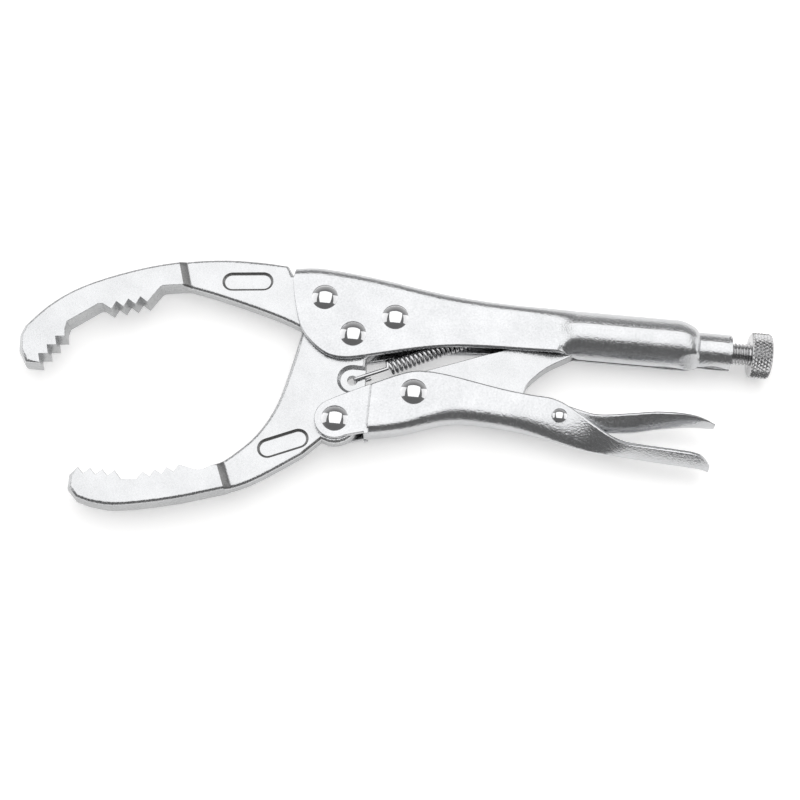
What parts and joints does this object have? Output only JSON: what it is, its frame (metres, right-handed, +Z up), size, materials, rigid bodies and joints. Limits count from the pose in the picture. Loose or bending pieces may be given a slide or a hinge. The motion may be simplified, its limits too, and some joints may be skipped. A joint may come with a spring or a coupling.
{
  "type": "locking oil filter pliers",
  "caption": "Locking grip pliers with long curved toothed jaws, toggle link, adjusting screw, release lever and return spring.",
  "frame": {"origin": "below the middle of the tool, on the surface that it lies on", "axes": "+X along the tube of the fixed handle, from the jaws to the adjusting knob; +Y from the lower handle to the fixed handle; +Z up, across the flat sides"},
  "size_m": [0.2713, 0.0992, 0.0186],
  "materials": {
    "satin_plated_steel": "satin nickel plating with a fine grain",
    "forged_plated_steel": "satin nickel plating over blasted forged steel",
    "bright_plated_steel": "bright plating",
    "spring_wire": "bright plated wire",
    "polished_steel": "mirror polished domes"
  },
  "bodies": {
    "fixed_handle": {"fixed_handle": "satin_plated_steel", "fixed_jaw": "forged_plated_steel", "fixed_jaw_front_rivet": "polished_steel", "fixed_jaw_rear_rivet": "polished_steel", "jaw_pivot_rivet": "polished_steel", "spring": "spring_wire"},
    "moving_jaw": {"moving_jaw": "forged_plated_steel"},
    "lower_handle": {"lower_handle": "satin_plated_steel", "handle_pivot_rivet": "polished_steel", "link_pivot_rivet": "polished_steel", "lever_pivot_rivet": "polished_steel"},
    "toggle_link": {"toggle_link": "forged_plated_steel"},
    "release_lever": {"release_lever": "satin_plated_steel"},
    "adjusting_screw": {"adjusting_screw": "bright_plated_steel"},
    "adjusting_knob": {"adjusting_knob": "bright_plated_steel"}
  },
  "joints": [
    {"name": "jaw_pivot", "type": "hinge", "parent": "fixed_handle", "child": "moving_jaw", "pos_m": [-0.0157, 0.0222, 0.0093], "axis": [0, 0, 1], "range_deg": [0, 12.1], "deforming": ["spring"]},
    {"name": "handle_pivot", "type": "hinge", "parent": "moving_jaw", "child": "lower_handle", "pos_m": [-0.0187, -0.0106, 0.0093], "axis": [0, 0, 1], "range_deg": [-55, 0]},
    {"name": "link_pivot", "type": "hinge", "parent": "lower_handle", "child": "toggle_link", "pos_m": [0.0082, 0.0019, 0.0093], "axis": [0, 0, 1], "range_deg": [0, 64.4]},
    {"name": "lever_pivot", "type": "hinge", "parent": "lower_handle", "child": "release_lever", "pos_m": [0.0605, -0.0021, 0.0093], "axis": [0, 0, 1], "range_deg": [-7, 0]},
    {"name": "screw_travel", "type": "slide", "parent": "fixed_handle", "child": "adjusting_screw", "axis": [1, 0, 0], "range_m": [0, 0.018]},
    {"name": "knob_spin", "type": "hinge", "parent": "adjusting_screw", "child": "adjusting_knob", "pos_m": [0.1314, 0.0298, 0.0093], "axis": [1, 0, 0], "range_deg": [0, 5185]}
  ],
  "couplings": [
    {"joint": "jaw_pivot", "follows": "handle_pivot", "ratio": -0.22},
    {"joint": "link_pivot", "follows": "handle_pivot", "ratio": -1.17},
    {"joint": "knob_spin", "follows": "screw_travel", "rad_per_m": 5026.6}
  ]
}
